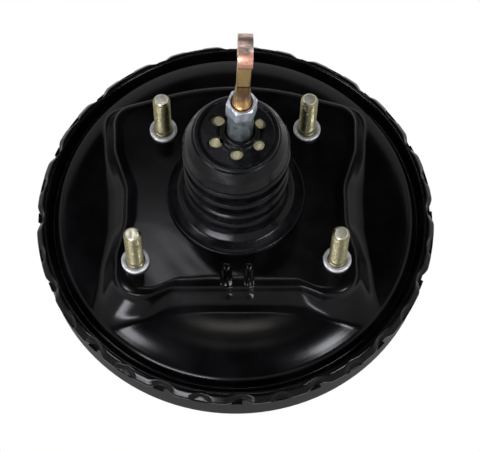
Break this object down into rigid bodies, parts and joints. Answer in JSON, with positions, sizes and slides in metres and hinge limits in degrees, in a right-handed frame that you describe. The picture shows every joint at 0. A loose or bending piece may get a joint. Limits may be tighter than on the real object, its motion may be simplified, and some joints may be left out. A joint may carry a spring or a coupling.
{
  "type": "brake booster",
  "caption": "Round black vacuum servo with a lobed crimped rim, a trapezoid of threaded studs, a ribbed rubber boot and a push rod that ends in a flat eye.",
  "frame": {"origin": "centre of the flat mounting plateau of the rear shell, where the booster seats on the bulkhead", "axes": "+Z along the push rod towards the pedal, +Y up the bulkhead, +X to the right seen from the pedal with +Y up"},
  "size_m": [0.2336, 0.2336, 0.2881],
  "materials": {
    "black_paint": "gloss",
    "plain_steel": "satin",
    "spring_steel": "satin",
    "yellow_zinc": "satin",
    "pale_zinc": "satin",
    "blue_zinc": "satin",
    "copper_zinc": "satin",
    "boot_rubber": "satin",
    "seal_rubber": "matte",
    "phenolic": "matte",
    "black_nylon": "satin",
    "foam": "matte",
    "felt": "matte"
  },
  "bodies": {
    "housing": {"rear_shell": "black_paint", "front_shell": "black_paint", "rear_stud_plate": "plain_steel", "mounting_studs": "yellow_zinc", "stud_collars": "pale_zinc", "guide_seal": "seal_rubber", "guide_seal_retainer": "plain_steel", "dust_boot": "boot_rubber", "front_stud_plate": "plain_steel", "master_cylinder_studs": "yellow_zinc", "front_seal": "seal_rubber", "front_seal_retainer": "plain_steel", "return_spring": "spring_steel", "check_valve_grommet": "seal_rubber", "check_valve_body": "black_nylon", "check_valve_nipple": "black_nylon", "check_valve_spring": "spring_steel"},
    "piston": {"valve_body": "phenolic", "stop_key": "plain_steel", "diaphragm_plate": "plain_steel", "diaphragm": "seal_rubber", "reaction_disc": "seal_rubber", "output_rod": "blue_zinc", "output_rod_screw": "blue_zinc", "output_rod_retainer": "plain_steel", "poppet": "seal_rubber", "poppet_retainer": "plain_steel", "poppet_spring": "spring_steel", "valve_return_spring": "spring_steel", "air_filter": "foam", "silencer_felt": "felt"},
    "plunger": {"valve_plunger": "plain_steel"},
    "rod_ball": {"rod_ball": "blue_zinc"},
    "input_rod": {"input_rod": "blue_zinc", "rod_spring_seat": "plain_steel"},
    "adjuster": {"adjuster_sleeve": "blue_zinc"},
    "eye": {"rod_eye": "copper_zinc"},
    "check_disc": {"check_valve_disc": "seal_rubber"}
  },
  "joints": [
    {"name": "piston_stroke", "type": "slide", "parent": "housing", "child": "piston", "axis": [0, 0, -1], "range_m": [0, 0.03], "stiffness_N_per_m": 1500, "springref_m": -0.05, "deforming": ["dust_boot", "diaphragm", "return_spring"]},
    {"name": "plunger_travel", "type": "slide", "parent": "piston", "child": "plunger", "axis": [0, 0, -1], "range_m": [0, 0.0018], "stiffness_N_per_m": 3000, "springref_m": -0.008, "deforming": ["valve_return_spring", "poppet_spring"]},
    {"name": "rod_swing_up_down", "type": "hinge", "parent": "plunger", "child": "rod_ball", "pos_m": [0, 0, 0], "axis": [1, 0, 0], "range_deg": [-3, 3], "stiffness_Nm_per_rad": 2},
    {"name": "rod_swing_sideways", "type": "hinge", "parent": "rod_ball", "child": "input_rod", "pos_m": [0, 0, 0], "axis": [0, 1, 0], "range_deg": [-4.4, 1.6], "stiffness_Nm_per_rad": 2},
    {"name": "adjuster_turn", "type": "hinge", "parent": "input_rod", "child": "adjuster", "pos_m": [0, 0, 0], "axis": [0.0244, 0, 0.9997], "range_deg": [-360, 720]},
    {"name": "eye_extend", "type": "slide", "parent": "input_rod", "child": "eye", "axis": [0.0244, 0, 0.9997], "range_m": [-0.0012, 0.0024]},
    {"name": "check_valve_lift", "type": "slide", "parent": "housing", "child": "check_disc", "axis": [0, 0, -1], "range_m": [0, 0.0015], "stiffness_N_per_m": 200, "springref_m": -0.003, "deforming": ["check_valve_spring"]}
  ],
  "couplings": [
    {"joint": "adjuster_turn", "follows": "eye_extend", "rad_per_m": 5026.5}
  ]
}
